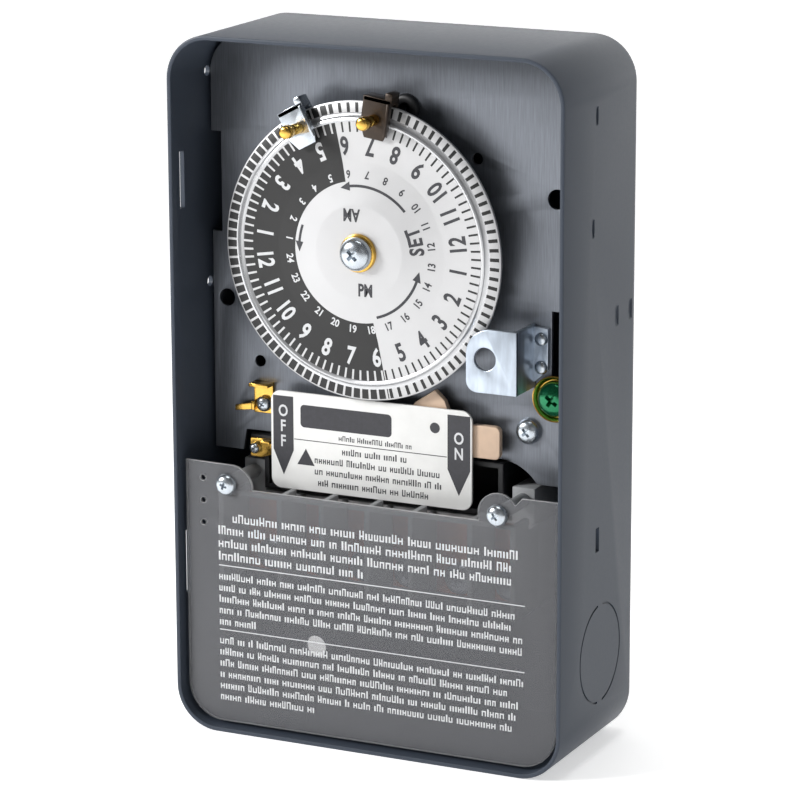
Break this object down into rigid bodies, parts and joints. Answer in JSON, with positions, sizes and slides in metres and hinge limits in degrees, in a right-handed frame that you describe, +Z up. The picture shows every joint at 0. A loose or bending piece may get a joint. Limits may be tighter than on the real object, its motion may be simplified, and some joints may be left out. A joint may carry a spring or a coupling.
{
  "type": "mechanical time switch",
  "caption": "Open sheet-steel wall enclosure holding a 24-hour dial with movable on and off trippers, gear train, rocker switch lever, screw terminals and a clear wiring shield.",
  "frame": {"origin": "centre of the enclosure's flat back face, which goes on the wall", "axes": "+X to the right seen from the front, +Y into the wall, +Z up"},
  "size_m": [0.1174, 0.0508, 0.1968],
  "materials": {
    "painted_steel": "satin grey enamel",
    "galvanised_steel": "galvanised sheet, fine upright grain",
    "zinc_steel": "bright zinc plate",
    "green_steel": "green-dyed plating",
    "dial_face": "printed satin aluminium",
    "brass": "bright brass",
    "copper_plate": "copper-coloured plate",
    "black_plastic": "moulded black",
    "tan_plastic": "moulded tan",
    "label_white": "printed white enamel on sheet metal",
    "grey_plastic": "moulded light grey",
    "clear_shield": "clear sheet, smoky",
    "bronze_steel": "dark bronze-brown plating"
  },
  "bodies": {
    "enclosure": {"arbor_bushing": "brass", "contact_pin": "zinc_steel", "enclosure": "painted_steel", "fixed_contact": "brass", "ground_cup_washer": "brass", "ground_screw": "green_steel", "hasp_bracket": "zinc_steel", "hasp_rivet_lower": "zinc_steel", "hasp_rivet_upper": "zinc_steel", "idler_stud": "zinc_steel", "label_plate": "label_white", "label_post_left": "zinc_steel", "label_post_right": "zinc_steel", "lever_pin": "zinc_steel", "motor_can": "zinc_steel", "motor_tab_lower": "brass", "motor_tab_upper": "brass", "mounting_plate": "galvanised_steel", "plate_eyelet": "black_plastic", "plate_screw": "zinc_steel", "shield_post_left": "grey_plastic", "shield_post_right": "grey_plastic", "shield_screw_left": "zinc_steel", "shield_screw_right": "zinc_steel", "switch_housing": "black_plastic", "tab_screw_lower": "zinc_steel", "tab_screw_upper": "zinc_steel", "terminal_block": "grey_plastic", "terminal_plate_1": "copper_plate", "terminal_plate_2": "copper_plate", "terminal_plate_3": "copper_plate", "terminal_plate_4": "copper_plate", "terminal_plate_5": "copper_plate", "terminal_plate_6": "copper_plate", "terminal_screw_1": "zinc_steel", "terminal_screw_2": "zinc_steel", "terminal_screw_3": "zinc_steel", "terminal_screw_4": "zinc_steel", "terminal_screw_5": "zinc_steel", "terminal_screw_6": "zinc_steel", "wiring_shield": "clear_shield"},
    "dial": {"dial_disc": "dial_face", "dial_gear": "brass", "dial_arbor": "zinc_steel", "dial_hub": "brass", "dial_screw": "zinc_steel"},
    "idler": {"idler_wheel": "brass", "idler_pinion": "brass"},
    "motor_output": {"motor_shaft": "zinc_steel", "motor_pinion": "brass"},
    "tripper_on": {"tripper_on_clip": "zinc_steel"},
    "tripper_on_screw": {"tripper_on_thumbscrew": "brass"},
    "tripper_off": {"tripper_off_clip": "bronze_steel"},
    "tripper_off_screw": {"tripper_off_thumbscrew": "brass"},
    "override_lever": {"override_lever": "tan_plastic"},
    "contact_arm": {"contact_arm": "brass"}
  },
  "joints": [
    {"name": "dial_turn", "type": "hinge", "parent": "enclosure", "child": "dial", "pos_m": [-0.006, -0.0386, 0.0404], "axis": [0, 1, 0], "continuous": true},
    {"name": "idler_turn", "type": "hinge", "parent": "enclosure", "child": "idler", "pos_m": [-0.0375, -0.034, 0.0404], "axis": [0, 1, 0], "continuous": true},
    {"name": "motor_turn", "type": "hinge", "parent": "enclosure", "child": "motor_output", "pos_m": [-0.02937, -0.0328, 0.03227], "axis": [0, 1, 0], "continuous": true},
    {"name": "tripper_on_set", "type": "hinge", "parent": "dial", "child": "tripper_on", "pos_m": [-0.006, -0.0386, 0.0404], "axis": [0, 1, 0], "range_deg": [-150, 8]},
    {"name": "tripper_off_set", "type": "hinge", "parent": "dial", "child": "tripper_off", "pos_m": [-0.006, -0.0386, 0.0404], "axis": [0, 1, 0], "range_deg": [-8, 150]},
    {"name": "tripper_on_screw_turn", "type": "hinge", "parent": "tripper_on", "child": "tripper_on_screw", "pos_m": [-0.02356, -0.0456, 0.07342], "axis": [0, 1, 0], "continuous": true},
    {"name": "tripper_off_screw_turn", "type": "hinge", "parent": "tripper_off", "child": "tripper_off_screw", "pos_m": [-0.00054, -0.0456, 0.0774], "axis": [0, 1, 0], "continuous": true},
    {"name": "override_rock", "type": "hinge", "parent": "enclosure", "child": "override_lever", "pos_m": [-0.004, -0.0338, -0.0115], "axis": [0, 1, 0], "range_deg": [-12, 0]},
    {"name": "contact_rock", "type": "hinge", "parent": "enclosure", "child": "contact_arm", "pos_m": [0.012, -0.028, -0.0234], "axis": [0, 1, 0], "range_deg": [0, 6]}
  ],
  "couplings": [
    {"joint": "idler_turn", "follows": "dial_turn", "ratio": -6},
    {"joint": "motor_turn", "follows": "dial_turn", "ratio": 21.6},
    {"joint": "contact_rock", "follows": "override_rock", "ratio": -0.5}
  ]
}
